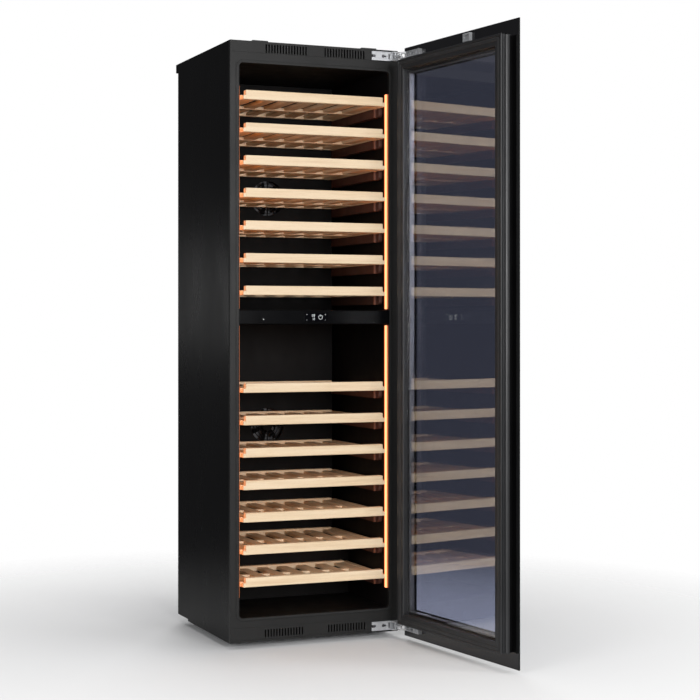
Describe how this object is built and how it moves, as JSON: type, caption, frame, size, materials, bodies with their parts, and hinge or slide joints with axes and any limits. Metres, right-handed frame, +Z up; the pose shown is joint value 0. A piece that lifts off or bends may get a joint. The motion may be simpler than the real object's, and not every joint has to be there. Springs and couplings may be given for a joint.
{
  "type": "wine cooler",
  "caption": "Tall built-in dual-zone wine cooler with hinged glass door, sliding slatted wooden shelves, warm light strips and a mid-height control panel.",
  "frame": {"origin": "centre of the cabinet's footprint on its underside plane, which is also the centre of the four anchor holes; the feet reach 18 mm below it", "axes": "+Z up along the cabinet, -Y out of the open front towards the user, +X towards the hinge side, which is on the right as seen from the front"},
  "size_m": [0.622, 1.1562, 1.7922],
  "materials": {
    "body_sheet": "satin",
    "zinc_sheet": "satin",
    "frame_plastic": "satin",
    "liner_plastic": "satin",
    "foam": "matte",
    "panel_gloss": "gloss",
    "display_glass": "gloss",
    "light_diffuser": "satin",
    "evaporator_alu": "satin",
    "compressor_paint": "gloss",
    "inner_plastic": "matte",
    "hinge_metal": "satin",
    "screw_steel": "satin",
    "black_glass": "gloss",
    "tinted_glass": "gloss",
    "gasket_rubber": "matte",
    "grip_alu": "satin",
    "bracket_plastic": "satin",
    "beech": "satin"
  },
  "bodies": {
    "cabinet": {"side_panel_left": "body_sheet", "side_panel_right": "body_sheet", "top_panel": "body_sheet", "back_panel": "zinc_sheet", "base_plate": "zinc_sheet", "front_frame": "frame_plastic", "top_vent_rail": "frame_plastic", "bottom_vent_rail": "frame_plastic", "liner_wall_left": "liner_plastic", "liner_wall_right": "liner_plastic", "liner_back": "liner_plastic", "liner_ceiling": "liner_plastic", "liner_floor": "liner_plastic", "foam_insulation": "foam", "zone_divider": "liner_plastic", "control_panel": "panel_gloss", "display_window": "display_glass", "led_strip_left": "light_diffuser", "led_strip_right": "light_diffuser", "shelf_supports_left": "liner_plastic", "shelf_supports_right": "liner_plastic", "duct_cover_upper": "liner_plastic", "duct_cover_lower": "liner_plastic", "evaporators": "evaporator_alu", "compressor": "compressor_paint", "condenser": "compressor_paint", "drip_tray": "inner_plastic", "electronics_box": "inner_plastic", "cable_gland": "inner_plastic", "levelling_feet": "inner_plastic", "rear_spacers": "inner_plastic", "fixing_tabs": "hinge_metal", "hinge_bases": "hinge_metal", "hinge_base_screws": "screw_steel"},
    "door": {"hinge_arms": "hinge_metal", "door_glass": "black_glass", "door_frame": "frame_plastic", "door_gasket": "gasket_rubber", "inner_glass": "tinted_glass", "grip_profile": "grip_alu", "panel_bracket": "bracket_plastic"},
    "link_front": {"hinge_link_front": "hinge_metal"},
    "link_rear": {"hinge_link_rear": "hinge_metal"},
    "upper_fan": {"fan_rotor_upper": "inner_plastic"},
    "lower_fan": {"fan_rotor_lower": "inner_plastic"},
    "condenser_fan": {"condenser_fan_rotor": "inner_plastic"},
    "shelf_01": {"shelf_01": "beech"},
    "shelf_02": {"shelf_02": "beech"},
    "shelf_03": {"shelf_03": "beech"},
    "shelf_04": {"shelf_04": "beech"},
    "shelf_05": {"shelf_05": "beech"},
    "shelf_06": {"shelf_06": "beech"},
    "shelf_07": {"shelf_07": "beech"},
    "shelf_08": {"shelf_08": "beech"},
    "shelf_09": {"shelf_09": "beech"},
    "shelf_10": {"shelf_10": "beech"},
    "shelf_11": {"shelf_11": "beech"},
    "shelf_12": {"shelf_12": "beech"},
    "shelf_13": {"shelf_13": "beech"},
    "shelf_14": {"shelf_14": "beech"}
  },
  "joints": [
    {"name": "door_hinge", "type": "hinge", "parent": "cabinet", "child": "door", "pos_m": [0.283, -0.3017, 0.885], "axis": [0, 0, 1], "range_deg": [-96.7, 8.3]},
    {"name": "link_front_pivot", "type": "hinge", "parent": "cabinet", "child": "link_front", "pos_m": [0.25607, -0.27, 0.885], "axis": [0, 0, 1], "range_deg": [-6.5, 73.8]},
    {"name": "link_rear_pivot", "type": "hinge", "parent": "cabinet", "child": "link_rear", "pos_m": [0.26306, -0.26474, 0.885], "axis": [0, 0, 1], "range_deg": [-4.9, 55.2]},
    {"name": "upper_fan_spin", "type": "hinge", "parent": "cabinet", "child": "upper_fan", "pos_m": [0, 0.1695, 1.34], "axis": [0, 1, 0], "continuous": true},
    {"name": "lower_fan_spin", "type": "hinge", "parent": "cabinet", "child": "lower_fan", "pos_m": [0, 0.1695, 0.61], "axis": [0, 1, 0], "continuous": true},
    {"name": "condenser_fan_spin", "type": "hinge", "parent": "cabinet", "child": "condenser_fan", "pos_m": [-0.0745, 0.195, 0.066], "axis": [1, 0, 0], "continuous": true},
    {"name": "shelf_01_slide", "type": "slide", "parent": "cabinet", "child": "shelf_01", "axis": [0, -1, 0], "range_m": [0, 0.3]},
    {"name": "shelf_02_slide", "type": "slide", "parent": "cabinet", "child": "shelf_02", "axis": [0, -1, 0], "range_m": [0, 0.3]},
    {"name": "shelf_03_slide", "type": "slide", "parent": "cabinet", "child": "shelf_03", "axis": [0, -1, 0], "range_m": [0, 0.3]},
    {"name": "shelf_04_slide", "type": "slide", "parent": "cabinet", "child": "shelf_04", "axis": [0, -1, 0], "range_m": [0, 0.3]},
    {"name": "shelf_05_slide", "type": "slide", "parent": "cabinet", "child": "shelf_05", "axis": [0, -1, 0], "range_m": [0, 0.3]},
    {"name": "shelf_06_slide", "type": "slide", "parent": "cabinet", "child": "shelf_06", "axis": [0, -1, 0], "range_m": [0, 0.3]},
    {"name": "shelf_07_slide", "type": "slide", "parent": "cabinet", "child": "shelf_07", "axis": [0, -1, 0], "range_m": [0, 0.3]},
    {"name": "shelf_08_slide", "type": "slide", "parent": "cabinet", "child": "shelf_08", "axis": [0, -1, 0], "range_m": [0, 0.3]},
    {"name": "shelf_09_slide", "type": "slide", "parent": "cabinet", "child": "shelf_09", "axis": [0, -1, 0], "range_m": [0, 0.3]},
    {"name": "shelf_10_slide", "type": "slide", "parent": "cabinet", "child": "shelf_10", "axis": [0, -1, 0], "range_m": [0, 0.3]},
    {"name": "shelf_11_slide", "type": "slide", "parent": "cabinet", "child": "shelf_11", "axis": [0, -1, 0], "range_m": [0, 0.3]},
    {"name": "shelf_12_slide", "type": "slide", "parent": "cabinet", "child": "shelf_12", "axis": [0, -1, 0], "range_m": [0, 0.3]},
    {"name": "shelf_13_slide", "type": "slide", "parent": "cabinet", "child": "shelf_13", "axis": [0, -1, 0], "range_m": [0, 0.3]},
    {"name": "shelf_14_slide", "type": "slide", "parent": "cabinet", "child": "shelf_14", "axis": [0, -1, 0], "range_m": [0, 0.22]}
  ],
  "couplings": [
    {"joint": "link_front_pivot", "follows": "door_hinge", "ratio": -0.76078},
    {"joint": "link_rear_pivot", "follows": "door_hinge", "ratio": -0.56876}
  ]
}
